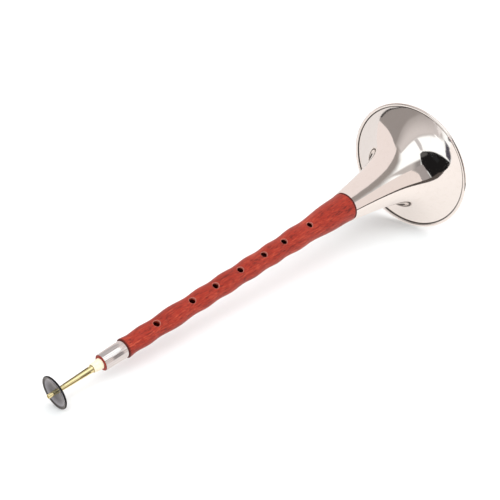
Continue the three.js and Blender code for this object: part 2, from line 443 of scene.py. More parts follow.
GRAIN_SHARES = (0.25, 0.35, 0.4)  # of bands, streaks and fibres
FIBRE_RISE = 0.35
PORE_DEPTH = 0.6
PORE_SHADE = 0.65
RUBBED_SHADE = 0.45
RUB_START = 0.3  # round a hole, as shares of the rounding of its mouth
RUB_END = 1.3
END_SHADE = 1.7  # reach of the painted shade at the ends of the waved wood
END_DEPTH = 0.85
RING_RISE = 0.012
WAVE_RISE = 0.5
WIPED_PLATING = (0.86, 0.82, 0.78)
SMUDGE_ROUGHNESS = 0.05
# Painted shade: a dark band along the crease where the rolled rim closes on the sheet
RIM_SEAM_SHADE = (0.07, 0.065, 0.06)
RIM_SHADE_CORE = 0.4  # from the middle of the seam
RIM_SHADE_REACH = 0.8
RIM_SHADE_DEPTH = 0.85
DRAWN_ALLOY = (0.66, 0.64, 0.65)
SOILED_THREAD = (0.34, 0.24, 0.13)
WORN_THREAD = (0.78, 0.64, 0.42)
TARNISH = (0.68, 0.54, 0.25)
WARM_IVORY = (0.93, 0.74, 0.50)
SCRATCH = (0.05, 0.05, 0.055)
# Reach of the pale film in the dish, which is dusty and also a painted reflection
FILM_FULL = 1.6  # places in the dish, counted inwards from the middle of the rim
FILM_THINS = 2.1
FILM_ENDS = 1.3
RIM_POLISH = (-0.1, 0.2)  # where the polish fades, from the middle of the rim
WIRE_STEEL = (0.50, 0.50, 0.51)
RUST = (0.27, 0.18, 0.12)


def hole_distance(tree, place_mm, settings):
    """Distance to the middle of the nearest finger hole's mouth."""
    ways = []
    for station in HOLE_STATIONS:
        radius, roll = wood_radius(station, settings), settings.hole_roll
        mouth = (station, -radius * math.sin(roll), radius * math.cos(roll))
        ways.append(measured(tree, "DISTANCE", place_mm, mouth))
    return lowest(tree, *ways)


def rosewood(settings):
    """Stained red wood with long grain, short dark pores, rubbed hole mouths, a satin varnish and painted shade at
    both ends of the waved wood, where it meets the ferrule and the bell.
    """
    material, tree = new_material("rosewood")
    place_mm = axis_place(tree)
    bands = noise(tree, place_mm, (0.02, 0.16, 0.16), 3, 0.55, 0.6)
    streaks = noise(tree, place_mm, (0.07, 0.8, 0.8), 5, 0.65, 0.3)
    fibres = noise(tree, place_mm, (0.2, 2.0, 2.0), 3, 0.65)
    marks = zip((bands, streaks, fibres), GRAIN_SHARES)
    tone = summed(tree, *[scaled(tree, mark, part) for mark, part in marks])
    grain = ramp(
        tree,
        tone,
        [
            (0.38, settings.wood_dark),
            (0.47, settings.wood_mid),
            (0.52, settings.wood_mid),
            (0.60, settings.wood_light),
        ],
    )
    pores = noise(tree, place_mm, (0.16, 1.2, 1.2), 2, 0.6, 0.4)
    pore_mask = eased(tree, pores, 0.54, 0.66, 0, 1)
    wood_colour = mixed(tree, scaled(tree, pore_mask, PORE_SHADE), grain, settings.wood_dark)

    away = hole_distance(tree, place_mm, settings)
    hole, ease = mm(settings.hole_radius), mm(settings.hole_ease)
    rubbed = eased(tree, away, hole + RUB_START * ease, hole + RUB_END * ease, 1, 0)
    wood_colour = mixed(tree, scaled(tree, rubbed, RUBBED_SHADE), wood_colour, settings.wood_rubbed)
    # Painted shade in the crevices where the waved wood meets the ferrule and the bell
    station = node(tree, "SeparateXYZ", {"Vector": place_mm}).outputs["X"]
    end_shade = eased(tree, station, BODY_END - END_SHADE, BODY_END - END_SHADE / 3, 0, 1)
    past_front = maths(tree, "SUBTRACT", station, FERRULE_TENON)
    from_front = node(tree, "Math", {0: past_front}, operation="ABSOLUTE").outputs[0]
    front_shade = eased(tree, from_front, END_SHADE / 3, END_SHADE, 1, 0)
    painted_joint_shade = scaled(tree, summed(tree, front_shade, end_shade), END_DEPTH)
    wood_colour = mixed(tree, painted_joint_shade, wood_colour, settings.wood_dark)

    relief = summed(tree, scaled(tree, fibres, FIBRE_RISE), scaled(tree, pore_mask, -PORE_DEPTH))
    return shaded(
        material,
        Base_Color=wood_colour,
        Roughness=varied(tree, fibres, 0.36, 0.48),
        Specular_IOR_Level=0.15,
        Coat_Weight=0.1,
        Coat_Roughness=0.22,
        Coat_IOR=1.45,
        Normal=bumped(tree, relief, 0.08),
    )


def plated_sheet(settings):
    """Bright plating over spun sheet: faint rings, slow waves, wipe marks and painted shade along the seam at the
    rim.
    """
    material, tree = new_material("plated sheet")
    place_mm = axis_place(tree)
    lathed = lathe_place(tree, place_mm)
    rings = noise(tree, lathed, (1.6, 1.6, 1), 3, 0.6)
    waves = noise(tree, place_mm, 0.07, 1, 0.4)
    smudges = noise(tree, place_mm, 0.16, 4, 0.6, 0.8)
    height = summed(tree, scaled(tree, rings, RING_RISE), scaled(tree, waves, WAVE_RISE))
    wiped = tinted(tree, smudges, 0.5, 0.75, settings.plating, WIPED_PLATING, 0.35)
    # Painted shade along the seam of the rolled rim
    from_seam = measured(tree, "DISTANCE", lathed, (*rim_seam(settings), 0))
    rim_shade = eased(tree, from_seam, RIM_SHADE_CORE, RIM_SHADE_REACH, RIM_SHADE_DEPTH, 0)
    return shaded(
        material,
        Base_Color=mixed(tree, rim_shade, wiped, RIM_SEAM_SHADE),
        Metallic=1.0,
        Roughness=ranged(tree, smudges, 0.35, 0.8, settings.gloss, settings.gloss + SMUDGE_ROUGHNESS),
        Normal=bumped(tree, height, 0.12),
    )


def turned_alloy(settings):
    """Silver tube, polished lengthwise, with fine draw marks."""
    material, tree = new_material("turned alloy")
    place_mm = axis_place(tree)
    draws = noise(tree, place_mm, (0.03, 2.4, 2.4), 3, 0.6)
    wear = noise(tree, place_mm, 0.5, 3, 0.6)
    return shaded(
        material,
        Base_Color=tinted(tree, draws, 0.35, 0.65, DRAWN_ALLOY, settings.ferrule_metal),
        Metallic=1.0,
        Roughness=varied(tree, wear, 0.08, 0.15),
        Normal=bumped(tree, draws, 0.002),
    )


def waxed_thread(settings):
    """Cotton thread, twisted and waxed, wound in close turns."""
    material, tree = new_material("waxed thread")
    place_mm = axis_place(tree)
    plies = noise(tree, place_mm, (6, 2.2, 2.2), 3, 0.6, 0.4)
    dirt = noise(tree, place_mm, 0.3, 3, 0.6)
    toned = tinted(tree, dirt, 0.4, 0.7, settings.thread, SOILED_THREAD, 0.6)
    return shaded(
        material,
        Base_Color=tinted(tree, plies, 0.35, 0.65, toned, WORN_THREAD, 0.5),
        Roughness=0.78,
        Sheen_Weight=0.25,
        Normal=bumped(tree, plies, 0.12),
    )


def pale_brass(settings):
    """Polished brass tube with lengthwise wipe marks and a little tarnish."""
    material, tree = new_material("pale brass")
    place_mm = axis_place(tree)
    wipes = noise(tree, place_mm, (0.12, 5, 5), 3, 0.6)
    tarnish = noise(tree, place_mm, 0.22, 4, 0.65, 0.5)
    return shaded(
        material,
        Base_Color=tinted(tree, tarnish, 0.48, 0.75, settings.brass, TARNISH, 0.4),
        Metallic=1.0,
        Roughness=varied(tree, wipes, 0.07, 0.13),
        Normal=bumped(tree, wipes, 0.002),
    )


def cream_plastic(settings):
    """Moulded cream plastic, a little translucent, with a faint skin."""
    material, tree = new_material("cream plastic")
    place_mm = axis_place(tree)
    skin = noise(tree, place_mm, 3, 3)
    shade = noise(tree, place_mm, 0.25, 2)
    return shaded(
        material,
        Base_Color=tinted(tree, shade, 0.35, 0.7, settings.ivory, WARM_IVORY, 0.5),
        Roughness=varied(tree, skin, 0.3, 0.42),
        Subsurface_Weight=0.25,
        Subsurface_Radius=(1.0, 0.7, 0.45),
        Subsurface_Scale=1.2 * MM,
        Normal=bumped(tree, skin, 0.01),
    )


def gloss_black(settings):
    """Black moulded disc with a polished skin, faint rings, hairline scratches and a pale dusty film in its dish,
    which also stands in for a painted reflection of the pale room.
    """
    material, tree = new_material("gloss black")
    place_mm = axis_place(tree)
    lathed = lathe_place(tree, place_mm)
    rings = noise(tree, lathed, (1.0, 2.5, 1), 2)
    scratches = noise(tree, place_mm, (1, 9, 0.4), 3, 0.6, 0.6)
    specks = noise(tree, place_mm, 0.9, 4, 0.65)
    rim = mm(settings.disc_radius - settings.disc_thickness / 2)
    from_axis = node(tree, "SeparateXYZ", {"Vector": lathed}).outputs["Y"]
    # The pale film, dusty and a painted reflection, thickens towards the rim and stops short of it
    in_dish = eased(tree, from_axis, rim - FILM_THINS, rim - FILM_ENDS, 1, 0)
    thickness = eased(tree, from_axis, rim / 2, rim - FILM_FULL, 0.3, 1)
    film = scaled(tree, varied(tree, specks, 0.75, 1), thickness)
    scratched = tinted(tree, scratches, 0.6, 0.8, settings.black, SCRATCH, 0.25)
    inner, outer = (rim + step for step in RIM_POLISH)
    return shaded(
        material,
        Base_Color=mixed(tree, scaled(tree, film, in_dish), scratched, settings.dust_and_sheen),
        Roughness=varied(tree, rings, 0.06, 0.14),
        Specular_IOR_Level=eased(tree, from_axis, inner, outer, 0.7, 0.08),
        Normal=bumped(tree, rings, 0.006),
    )


def drawn_steel():
    """Bare drawn wire."""
    material, tree = new_material("drawn steel")
    place_mm = axis_place(tree)
    marks = noise(tree, lathe_place(tree, place_mm), (3, 3, 1), 3, 0.6)
    rust = noise(tree, place_mm, 0.35, 4, 0.65)
    return shaded(
        material,
        Base_Color=tinted(tree, rust, 0.55, 0.8, WIRE_STEEL, RUST, 0.7),
        Metallic=1.0,
        Roughness=varied(tree, marks, 0.3, 0.5),
        Normal=bumped(tree, marks, 0.02),
    )


# The wooden pipe

FERRULE_TENON = 22.5
BODY_LENGTH = 276.7
BODY_END = FERRULE_TENON + BODY_LENGTH
BELL_TENON = 12.0
HOLE_SHARES = (0.12, 0.262, 0.36, 0.468, 0.576, 0.671, 0.797)
THUMB_SHARE = 0.19
WAIST_SHARE = 0.032
TAPER_SHARE = 0.3  # share of the wood's growth that is a straight taper
FLARE_POWER = 6
LAST_CREST_SHARE = 0.02  # the crest next to the bell
WAVE_STEPS = 14
FERRULE_WALL = 0.4
TENON_STANDOUT = 0.4  # in front of the ferrule
FERRULE_ROUND = 0.15
BORE_FRONT = 3.0
BORE_END = 10.2
PLUG_LENGTH = 12.0
PLUG_FRONT = 4.1
PLUG_END = 3.85
SOCKET_SPARE = 1.0  # behind the plug
WRAP_THICKNESS = 0.7
WRAP_MARGIN = 1.2  # bare wood at each end of the thread
THREAD_PITCH = 0.62
THREAD_STEPS = 6
HOLE_SIDES = 48
CUT_OVERRUN = 2.0  # past the wood

HOLE_STATIONS = [FERRULE_TENON + part * BODY_LENGTH for part in HOLE_SHARES]
WAIST_STATION = FERRULE_TENON + WAIST_SHARE * BODY_LENGTH
THUMB_STATION = FERRULE_TENON + THUMB_SHARE * BODY_LENGTH
PIPE_END = BODY_END + BELL_TENON


def valley_at(station, settings):
    """Radius of the line through the valleys, which turns out towards the bell."""
    part = (station - FERRULE_TENON) / BODY_LENGTH
    low, high = mm(settings.valley_radius), mm(settings.end_radius)
    return low + (high - low) * (TAPER_SHARE * part + (1 - TAPER_SHARE) * part**FLARE_POWER)


def wood_radius(station, settings):
    """Valleys at the waist, at the finger holes and at the bell, with a crest between each two."""
    if station <= WAIST_STATION:
        part = (station - FERRULE_TENON) / (WAIST_STATION - FERRULE_TENON)
        drop = (1 - math.cos(math.pi * part)) / 2
        return between(mm(settings.front_radius), valley_at(WAIST_STATION, settings), drop)
    valleys = [WAIST_STATION, *HOLE_STATIONS, BODY_END]
    after = next(i for i, valley in enumerate(valleys) if station <= valley + MERGE)
    low, high = valleys[after - 1], valleys[after]
    crest = LAST_CREST_SHARE if high == BODY_END else settings.crest_share
    height = (high - low) * crest
    rise = (1 - math.cos(TURN * (station - low) / (high - low))) / 2
    return valley_at(station, settings) + height * rise


def waved_wall(settings):
    """Outside of the waved wood between its rounded ends."""
    stops = [FERRULE_TENON, WAIST_STATION, *HOLE_STATIONS, BODY_END]
    edge = mm(settings.edge_round)
    wall = []
    for low, high in zip(stops, stops[1:]):
        for i in range(WAVE_STEPS):
            station = between(low, high, i / WAVE_STEPS)
            if FERRULE_TENON + edge <= station <= BODY_END - edge:
                wall.append((station, wood_radius(station, settings)))
    return wall


def pipe_outline(settings, bell):
    """Front tenon, waved wood, bell tenon with its groove, bore and socket."""
    tenon_front = mm(settings.ferrule_front) - FERRULE_WALL - SLIP_GAP
    tenon_rear = mm(settings.ferrule_rear) - FERRULE_WALL - SLIP_GAP
    bell_tenon = mm(bell.neck_radius - bell.sheet) - SLIP_GAP
    wrap_floor = bell_tenon - WRAP_THICKNESS - SLIP_GAP
    socket = PLUG_LENGTH + SOCKET_SPARE
    edge = mm(settings.edge_round)
    front, end = mm(settings.front_radius), mm(settings.end_radius)
    return [
        (0, PLUG_FRONT + SLIP_GAP),
        (0, tenon_front - FERRULE_ROUND),
        (FERRULE_ROUND, tenon_front),
        (FERRULE_TENON, tenon_rear),
        *arc(FERRULE_TENON + edge, front - edge, edge, math.pi, math.pi / 2, EDGE_STEPS),
        *waved_wall(settings),
        *arc(BODY_END - edge, end - edge, edge, math.pi / 2, 0, EDGE_STEPS),
        (BODY_END, bell_tenon),
        (BODY_END + WRAP_MARGIN, bell_tenon),
        (BODY_END + WRAP_MARGIN, wrap_floor),
        (PIPE_END - WRAP_MARGIN, wrap_floor),
        (PIPE_END - WRAP_MARGIN, bell_tenon),
        (PIPE_END, bell_tenon),
        (PIPE_END, BORE_END),
        (socket, between(BORE_FRONT, BORE_END, socket / PIPE_END)),
        (socket, PLUG_END + SLIP_GAP),
    ]


def hole_cutter(bm, station, roll, settings):
    """Adds a cutter for a hole: a straight bore with a rounded mouth that follows the round wood."""
    wood = wood_radius(station, settings)
    hole, ease = mm(settings.hole_radius), mm(settings.hole_ease)
    rounding = arc(0, 0, ease, 0, math.pi / 2, EDGE_STEPS)
    mouth = [(hole + ease - x, wood - ease + y) for x, y in rounding]
    outline = [(0, 0), (hole, 0), *mouth, (hole + ease, wood + CUT_OVERRUN), (0, wood + CUT_OVERRUN)]
    made = turned(outline, HOLE_SIDES, (0, 0, 1), closed=False)
    # The mouth drops to both sides, as the round wood does
    for vert in made.verts:
        if vert.co.z > wood - 2 * ease:
            vert.co.z -= wood - math.sqrt(wood**2 - min(abs(vert.co.y), wood) ** 2)
    bmesh.ops.transform(
        made,
        matrix=Matrix.Translation((station, 0, 0)) @ Matrix.Rotation(roll, 4, "X"),
        verts=made.verts,
    )
    loose = bpy.data.meshes.new("hole")
    made.to_mesh(loose)
    made.free()
    bm.from_mesh(loose)
    bpy.data.meshes.remove(loose)


class SUONA_OT_pipe(Operator):
    """Build the waved wooden pipe with its finger holes"""

    bl_idname = "suona.pipe"
    bl_label = "Wooden pipe"

    def execute(self, context):
        settings, bell = context.scene.suona_pipe, context.scene.suona_bell
        pipe = add_mesh(spun(pipe_outline(settings, bell), settings.pipe_sides), "wooden_pipe")
        cutters = bmesh.new()
        for station in HOLE_STATIONS:
            hole_cutter(cutters, station, settings.hole_roll, settings)
        hole_cutter(cutters, THUMB_STATION, settings.hole_roll + math.pi, settings)
        cut(pipe, add_mesh(cutters, "hole_cutters"))
        place(pipe, rosewood(settings), "pipe", "pipe_wood", "pipe")
        return {"FINISHED"}


def tube(start, end, front, rear, wall):
    """Outline of a conical tube between two stations, with its outside radius at each."""
    return [(start, front - wall), (start, front), (end, rear), (end, rear - wall)]


class SUONA_OT_ferrule(Operator):
    """Build the silver ferrule on the front tenon"""

    bl_idname = "suona.ferrule"
    bl_label = "Ferrule"

    def execute(self, context):
        settings = context.scene.suona_pipe
        start, end = TENON_STANDOUT, FERRULE_TENON - SEAT_GAP
        front, rear = mm(settings.ferrule_front), mm(settings.ferrule_rear)
        bm = spun(tube(start, end, front, rear, FERRULE_WALL), settings.pipe_sides)
        soften(bm, FERRULE_ROUND)
        ferrule = add_mesh(bm, "silver_ferrule")
        place(ferrule, turned_alloy(settings), "pipe", "ferrule_alloy", "top_ferrule")
        return {"FINISHED"}


class SUONA_OT_thread(Operator):
    """Wind the thread on the bell tenon"""

    bl_idname = "suona.thread"
    bl_label = "Tenon thread"

    def execute(self, context):
        settings, bell = context.scene.suona_pipe, context.scene.suona_bell
        outer = mm(bell.neck_radius - bell.sheet) - SLIP_GAP
        start = BODY_END + WRAP_MARGIN + SLIP_GAP
        end = PIPE_END - WRAP_MARGIN - SLIP_GAP
        turns = int((end - start) / THREAD_PITCH)
        pitch = (end - start) / turns
        crown = outer - pitch / 2
        outline = [(start, outer - WRAP_THICKNESS)]
        for i in range(turns):
            outline += arc(start + (i + 0.5) * pitch, crown, pitch / 2, math.pi, 0, THREAD_STEPS)[:-1]
        outline += [(end, crown), (end, outer - WRAP_THICKNESS)]
        winding = add_mesh(spun(outline, settings.pipe_sides), "tenon_winding")
        place(winding, waxed_thread(settings), "pipe", "tenon_thread", "bell_tenon_thread")
        return {"FINISHED"}


# The bell

CURL_START = -math.radians(15)  # turns round the wire, from the bell's direction to outwards
CURL_END = math.radians(255)
SEAM_TURN = math.radians(279)
SEAM_GAP = 0.55  # from the roll to the middle of its seam
CURL_STEPS = 22
FLARE_STEPS = 64


class BellCurve:
    """The bell's sheet: a straight cone plus a squared hyperbola, rolled over a wire at the mouth."""

    def __init__(self, bell):
        self.sheet = mm(bell.sheet)
        self.inner = mm(bell.wire_radius) + SLIP_GAP
        self.outer = self.inner + self.sheet
        self.neck = mm(bell.neck_radius)
        self.cone = mm(bell.cone_rise)
        self.reach = mm(bell.flare_reach)
        self.curl_radius = mm(bell.rim_radius) - self.outer
        self.curl_station = mm(bell.bell_length) - self.outer * math.cos(CURL_START)
        self.end = self.curl_station + self.inner * math.cos(CURL_START)
        end_radius = self.curl_radius + self.inner * math.sin(CURL_START)
        self.flare = end_radius - self.neck - self.cone
        self.sharpness = bell.flare_sharpness
        self.at_neck = self.curve(self.end)

    def curve(self, to_mouth):
        """The hyperbola, which is 1 at the mouth."""
        return (self.reach / (to_mouth + self.reach)) ** self.sharpness

    def radius(self, station):
        part = (self.curve(self.end - station) - self.at_neck) / (1 - self.at_neck)
        return self.neck + self.cone * station / self.end + self.flare * part

    def slope(self, station):
        """Growth of the radius along the axis."""
        to_mouth = self.end - station
        pull = self.sharpness * self.curve(to_mouth) / (to_mouth + self.reach)
        return self.cone / self.end + self.flare * pull / (1 - self.at_neck)

    def outline(self):
        outside, inside = [], []
        for i in range(FLARE_STEPS):
            station = self.end * (1 - (1 - i / FLARE_STEPS) ** 2)  # closer towards the mouth
            slope = self.slope(station)
            offset = self.sheet / math.hypot(1, slope)
            outside.append((station, self.radius(station)))
            inside.append((station + offset * slope, self.radius(station) - offset))
        inside[0] = (0, self.neck - self.sheet)
        centre = (self.curl_station, self.curl_radius)
        return [
            *outside,
            *arc(*centre, self.inner, CURL_START, CURL_END, CURL_STEPS),
            *arc(*centre, self.outer, CURL_END, CURL_START, CURL_STEPS),
            *reversed(inside),
        ]


def rim_seam(bell):
    """Station and radius of the valley where the rolled rim closes on the sheet."""
    curve = BellCurve(bell)
    station, reach = BODY_END + SEAT_GAP + curve.curl_station, curve.outer + SEAM_GAP
    return station + reach * math.cos(SEAM_TURN), curve.curl_radius + reach * math.sin(SEAM_TURN)


class SUONA_OT_bell(Operator):
    """Spin the bell and roll its rim"""

    bl_idname = "suona.bell"
    bl_label = "Bell"

    def execute(self, context):
        settings = context.scene.suona_bell
        neck = BODY_END + SEAT_GAP
        outline = [(neck + station, radius) for station, radius in BellCurve(settings).outline()]
        bell = add_mesh(spun(outline, settings.bell_sides), "spun_bell")
        place(bell, plated_sheet(settings), "bell", "bell_plating", "bell")
        return {"FINISHED"}


class SUONA_OT_rim_wire(Operator):
    """Finish the wire inside the rolled rim"""

    bl_idname = "suona.rim_wire"
    bl_label = "Rim wire"

    def execute(self, context):
        wire = frame["nodes"]["bell_rim_wire"]
        wire.data.materials.clear()
        wire.data.materials.append(drawn_steel())
        return {"FINISHED"}


# The staple, its sleeve and the lip disc

STAPLE_TAIL = 4.0  # inside the pipe
AIRWAY = 2.9
TUBE_ROUND_SHARE = 0.3  # of the tube's wall
SLEEVE_ROUND = 0.175
DISH_STEPS = 24
DISC_EDGE_STEPS = 10


def staple_radius(station, mouth):
    """Outside radius of the tapering tube."""
    reach = mm(mouth.staple_reach)
    part = (station + reach) / (reach + STAPLE_TAIL)
    return between(mm(mouth.tip_radius), mm(mouth.tail_radius), part)


class SUONA_OT_staple(Operator):
    """Build the conical brass staple"""

    bl_idname = "suona.staple"
    bl_label = "Staple"

    def execute(self, context):
        mouth = context.scene.suona_mouth
        start, end = -mm(mouth.staple_reach), STAPLE_TAIL
        tip, tail, wall = mm(mouth.tip_radius), mm(mouth.tail_radius), mm(mouth.tube_wall)
        bm = spun(tube(start, end, tip, tail, wall), mouth.round_sides)
        soften(bm, wall * TUBE_ROUND_SHARE)
        place(add_mesh(bm, "brass_staple"), pale_brass(mouth), "staple", "staple_brass", "staple_tube")
        return {"FINISHED"}


class SUONA_OT_sleeve(Operator):
    """Build the cream sleeve that plugs the staple into the pipe"""

    bl_idname = "suona.sleeve"
    bl_label = "Sleeve"

    def execute(self, context):
        mouth = context.scene.suona_mouth
        front = -mm(mouth.sleeve_reach)
        step = STAPLE_TAIL + SEAT_GAP
        bm = spun(
            [
                (front, staple_radius(front, mouth) + SLIP_GAP),
                (front, mm(mouth.sleeve_front)),
                (-SEAT_GAP, mm(mouth.sleeve_rear)),
                (-SEAT_GAP, PLUG_FRONT),
                (PLUG_LENGTH, PLUG_END),
                (PLUG_LENGTH, AIRWAY),
                (step, AIRWAY),
                (step, staple_radius(step, mouth) + SLIP_GAP),
            ],
            mouth.round_sides,
        )
        soften(bm, SLEEVE_ROUND)
        cone = add_mesh(bm, "staple_cone")
        place(cone, cream_plastic(mouth), "staple", "sleeve_plastic", "staple_sleeve")
        return {"FINISHED"}


class SUONA_OT_lip_disc(Operator):
    """Build the dished black lip disc"""

    bl_idname = "suona.lip_disc"
    bl_label = "Lip disc"

    def execute(self, context):
        mouth = context.scene.suona_mouth
        standoff, depth = mm(mouth.disc_standoff), mm(mouth.dish_depth)
        half = mm(mouth.disc_thickness) / 2
        rim = mm(mouth.disc_radius) - half
        hub = staple_radius(depth + 2 * half - standoff, mouth) + SLIP_GAP
        front, back = [], []
        for i in range(DISH_STEPS + 1):
            radius = between(hub, rim, i / DISH_STEPS)
            middle = half + depth * (1 - (radius / rim) ** 2) - standoff
            front.append((middle - half, radius))
            back.append((middle + half, radius))
        edge = arc(half - standoff, rim, half, math.pi, 0, DISC_EDGE_STEPS)[1:-1]
        disc = add_mesh(spun([*front, *edge, *reversed(back)], mouth.round_sides), "dished_lip_disc")
        place(disc, gloss_black(mouth), "lip_disc", "disc_plastic", "lip_disc")
        return {"FINISHED"}


# The stage

# Light and dark parts of the studio round the instrument, later ones in front. Each has a name, a
# brightness, the softness of its edges and its corners, anticlockwise as seen from below. A corner is
# an azimuth and a height, with the softness of the edge after it where that differs. All in degrees.
STUDIO_LIGHT = (1.17, 1.17, 1.15)
WARM_WALL = (0.88, 0.77, 0.72)
STUDIO_ZONES = (
    ("back wall", (0.91, 0.80, 0.76), 1, ((120, -4), (-45, 87), (-60, 27), (-2, 10), (67, -31))),
    (
        "shaded wall",
        (0.325, 0.29, 0.273),
        0.6,
        ((177, -6, 2.5), (153, 87), (95, 63), (100, 43), (106, 31), (111, 20), (115, 8), (121, -6)),
    ),
    (
        "wall near the lights",
        (0.67, 0.61, 0.585),
        4,
        ((146, 29, 16), (159, -2), (161, -6), (177, -6), (153, 87), (95, 63, 16)),
    ),
    (
        "shaded roof",
        (0.335, 0.295, 0.273),
        1,
        (
            (166, 85, 5),
            (-73, 73, 5),
            (-73, 31, 3),
            (-60, 27),
            (-48, 50),
            (-35, 62),
            (11, 78),
            (93, 65),
            (101, 60, 4),
        ),
    ),
    (
        "gap between lights",
        (0.61, 0.57, 0.56),
        1.5,
        ((-166, 34), (-150, 31), (-148, 41), (-166, 44), (176, 46), (177, 33)),
    ),
    (
        "front haze",
        (0.56, 0.51, 0.485),
        1,
        (
            (-121, 33),
            (-125, -38, 2),
            (-101, -28, 2),
            (-89, -3, 2),
            (-59, 29, 2),
            (-60, 46, 5),
            (-78, 48, 6),
            (-103, 41, 4),
        ),
    ),
    (
        "front gloom",
        (0.30, 0.275, 0.265),
        1,
        ((-121, 33), (-125, -38, 2), (-101, -28, 5), (-93, 0, 7), (-91, 20, 7), (-103, 38, 4)),
    ),
    (
        "front wall",
        WARM_WALL,
        1,
        ((-56, 29), (-70, 29), (-87, 25), (-90, 15), (-93, 0), (-76, -55), (-38, -45), (-30, 0)),
    ),
    (
        "foot of the front wall",
        WARM_WALL,
        1,
        ((-91, 13), (-93, 0), (-96, -14), (-101, -30), (-76, -55), (-38, -45)),
    ),
    (
        "lit edge",
        (0.9, 0.9, 0.88),
        0.6,
        ((-121, 32), (-128, -45), (-119.5, -45), (-108.5, 15), (-111, 23)),
    ),
    (
        "open front",
        (0.012, 0.011, 0.011),
        0.6,
        (
            (-168, -18),
            (-160, -45),
            (-121.5, -45),
            (-110.5, 14),
            (-113, 22),
            (-123, 33),
            (-137, 39),
            (-147, 34),
        ),
    ),
    (
        "shelf in the open front",
        (0.10, 0.095, 0.09),
        2,
        ((-149, 24), (-143, 19), (-134, 28), (-124, 33), (-137, 38), (-146, 34)),
    ),
    (
        "side gap",
        (0.075, 0.070, 0.090),
        0.8,
        ((-168, -11), (-173, -8), (177, -7), (-177, -14), (-173, -16), (-168, -18)),
    ),
)
# Glowing cards near the pipe that only glossy rays meet: painted reflections, light and dark, for its metal to
# mirror. They light nothing and cast no shadow. Each has a name, a brightness, the stations it reaches from and
# to, and the places across and up of its two long edges, in mm round the axis.
CARDS = (
    ("strip light", (1.35, 1.35, 1.33), (-15, 70), (-81, 57), (-2, 103)),
    ("wall card", (0.63, 0.58, 0.56), (-15, 70), (0, 103), (99.5, 41)),
    ("gloom card", (0.38, 0.34, 0.33), (185, 357), (-530, -300), (-530, 245)),
    ("upper flag", (0.10, 0.06, 0.0), (-41, -9), (3.5, 7.5), (8, 1)),
    ("lower flag", (0.10, 0.06, 0.0), (-41, -9), (-8.5, -1), (-6.5, -5)),
    ("dark front", (0.02, 0.02, 0.02), (-340, -130), (-400, 39), (-400, 319)),
)
BACKDROP = (1.0, 1.0, 1.0)
# The paper that the metal mirrors is a set of glowing sheets that only glossy rays meet, a painted reflection of
# the floor. It ends along a bent front edge, and far back at a dark skirting. These places and sizes are in
# metres.
NEAR_CORNERS = ((-0.26, -0.071), (-0.06, -0.095), (0.08, -0.165), (3, -0.165), (3, 0.2), (-0.26, 0.2))
FAR_CORNERS = ((-2.33, 0.12), (3.0, 0.12), (3.0, 3.0), (-0.5, 3.0))
SKIRTING_PATH = (
    (-0.55, 1.15),
    (-0.75, 1.12),
    (-0.95, 1.18),
    (-1.65, 1.65),
    (-1.9, 1.65),
    (-1.85, 1.3),
    (-1.7, 0.95),
    (-1.62, 0.7),
    (-1.35, 0.51),
)
SKIRTING_HEIGHT = 0.044
# A dark strip that only the metal sees: a painted reflection of a seam in the paper
SEAM = ((0.04, -0.203), (3.0, -0.145))
SHEET_STEP = 0.05 * MM
PAPER_REACH = 6.0
PAPER_TOOTH = 900  # per metre
DOME_RADIUS = 9.0
DOME_SIDES = 48
NEAR_PAPER = (0.74, 0.695, 0.665)
# Darker than the near paper: painted shade on the far floor that the bell mirrors
FAR_PAPER = (0.60, 0.57, 0.555)
PAPER_LIGHT = 1.4  # what the room and the lamps give white paper
PAPER_GLOW = 0.65
SEAM_SHADE = (0.06, 0.05, 0.045)
SKIRTING_SHADE = (0.02, 0.018, 0.017)
FILM_WIDTH = 36
TOP_LIGHT = (-120, 58)
TOP_SPREAD = math.radians(45)
FILL_LIGHT = (0, 90)
FILL_SPREAD = math.pi


def direction(azimuth, height):
    a, h = math.radians(azimuth), math.radians(height)
    return Vector((math.cos(a) * math.cos(h), math.sin(a) * math.cos(h), math.sin(h)))


def zone_mask(tree, look, soft, corners):
    """Where a direction lies inside all edges of a zone. Each edge is a plane through the eye."""
    spots = [direction(*corner[:2]) for corner in corners]
    inside = []
    for corner, here, after in zip(corners, spots, spots[1:] + spots[:1]):
        blur = math.sin(math.radians(corner[2] if len(corner) > 2 else soft))
        edge = here.cross(after).normalized() / blur
        inside.append(measured(tree, "DOT_PRODUCT", look, edge))
    return eased(tree, lowest(tree, *inside), -1, 1, 0, 1)


def studio_world():
    """A light room as the metal sees it: pale and shaded walls, broad lights and an open front."""
    world = bpy.data.worlds.new("studio")
    tree = cleared(world)
    look = node(tree, "TexCoord").outputs["Generated"]
    shown = STUDIO_LIGHT
    for _, tone, soft, corners in STUDIO_ZONES:
        shown = mixed(tree, zone_mask(tree, look, soft, corners), shown, tone)
    background = node(tree, "Background", {"Color": shown})
    node(tree, "OutputWorld", {"Surface": background.outputs["Background"]})
    return world


def paper_material(name, tone, glow=0.0):
    """Matt paper with a faint tooth. The share that glows keeps shadows off it."""
    material, tree = new_material(name)
    tooth = noise(tree, node(tree, "TexCoord").outputs["Object"], PAPER_TOOTH, 3, 0.6)
    return shaded(
        material,
        Base_Color=[(1 - glow) * part for part in tone],
        Emission_Color=tone,
        Emission_Strength=glow * PAPER_LIGHT,
        Roughness=0.95,
        Specular_IOR_Level=0.1,
        Normal=bumped(tree, tooth, 0.03),
    )


def glowing(name, tone):
    material, tree = new_material(name)
    glow = node(tree, "Emission", {"Color": tone})
    node(tree, "OutputMaterial", {"Surface": glow.outputs["Emission"]})
    return material


def seen_only_by(piece, camera=False, glossy=False):
    """Limits which rays meet a stage piece. A piece that only glossy rays meet is a painted reflection."""
    piece.visible_camera = camera
    piece.visible_glossy = glossy
    piece.visible_diffuse = False
    piece.visible_transmission = False
    piece.visible_shadow = False


